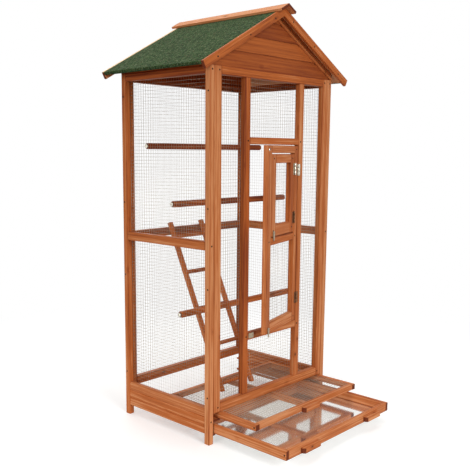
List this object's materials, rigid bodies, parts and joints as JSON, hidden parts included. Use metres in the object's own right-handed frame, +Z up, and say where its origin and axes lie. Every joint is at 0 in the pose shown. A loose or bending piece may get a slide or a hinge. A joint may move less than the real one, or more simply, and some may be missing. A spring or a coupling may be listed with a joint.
{
  "type": "bird aviary",
  "caption": "Tall wooden bird aviary with wire net walls, a felted gable roof, a door with a smaller door in it, perches, a ladder, and a pull-out rack and litter tray.",
  "frame": {"origin": "on the ground, at the middle of the outline in plan, under the cage", "axes": "+Z up, the door and the trays face -Y, +X to the right seen from the front"},
  "size_m": [0.8322, 0.871, 1.576],
  "materials": {
    "pine": "orange-brown stained pine with visible grain and knots",
    "wire": "galvanised welded wire",
    "felt": "green mineral-faced roofing felt",
    "sheet": "smooth galvanised sheet",
    "hardware": "bright yellow zinc plate"
  },
  "bodies": {
    "frame": {"front_left_leg": "pine", "front_right_leg": "pine", "back_left_leg": "pine", "back_right_leg": "pine", "left_top_rail": "pine", "left_mid_rail": "pine", "left_base_board": "pine", "left_net": "wire", "right_top_rail": "pine", "right_mid_rail": "pine", "right_base_board": "pine", "right_net": "wire", "rack_runner_left": "pine", "rack_runner_right": "pine", "tray_runner_left": "pine", "tray_runner_right": "pine", "front_left_stile": "pine", "front_right_stile": "pine", "front_top_rail": "pine", "front_bottom_rail": "pine", "left_mullion": "pine", "right_mullion": "pine", "head_rail": "pine", "sill_rail": "pine", "front_net_left": "wire", "front_net_right": "wire", "front_net_over_door": "wire", "front_net_under_door": "wire", "back_top_rail": "pine", "back_mid_rail": "pine", "back_bottom_rail": "pine", "back_net": "wire", "front_gable": "pine", "back_gable": "pine", "roof_board_left": "pine", "roof_board_right": "pine", "roof_felt": "felt", "front_bargeboards": "pine", "back_bargeboards": "pine", "ridge_cap": "pine", "high_perch": "pine", "middle_perch": "pine", "low_perch": "pine", "ladder": "pine", "main_hinge_lower": "hardware", "main_hinge_upper": "hardware"},
    "main_door": {"door_hinge_stile": "pine", "door_free_stile": "pine", "door_top_rail": "pine", "door_mid_rail": "pine", "door_bottom_rail": "pine", "door_net": "wire"},
    "main_latch": {"main_latch": "hardware"},
    "small_door": {"small_door_frame": "pine", "small_door_net": "wire"},
    "small_latch": {"small_latch": "hardware"},
    "wire_rack": {"rack_frame": "pine", "rack_net": "wire"},
    "litter_tray": {"tray_frame": "pine", "tray_sheet": "sheet"}
  },
  "joints": [
    {"name": "main_door_hinge", "type": "hinge", "parent": "frame", "child": "main_door", "pos_m": [0.1415, -0.09, 0.728], "axis": [0, 0, 1], "range_deg": [-15.5, 84.5]},
    {"name": "small_door_hinge", "type": "hinge", "parent": "main_door", "child": "small_door", "pos_m": [0.10777, -0.09935, 0.892], "axis": [0, 0, 1], "range_deg": [0, 85]},
    {"name": "main_latch_turn", "type": "hinge", "parent": "main_door", "child": "main_latch", "pos_m": [-0.11327, -0.15733, 0.4], "axis": [0.2672, -0.9636, 0], "range_deg": [-90, 90]},
    {"name": "small_latch_turn", "type": "hinge", "parent": "small_door", "child": "small_latch", "pos_m": [-0.07954, -0.14798, 0.756], "axis": [0.2672, -0.9636, 0], "range_deg": [-90, 90]},
    {"name": "rack_slide", "type": "slide", "parent": "frame", "child": "wire_rack", "axis": [0, -1, 0], "range_m": [-0.178, 0.172]},
    {"name": "tray_slide", "type": "slide", "parent": "frame", "child": "litter_tray", "axis": [0, -1, 0], "range_m": [-0.331, 0.069]}
  ]
}
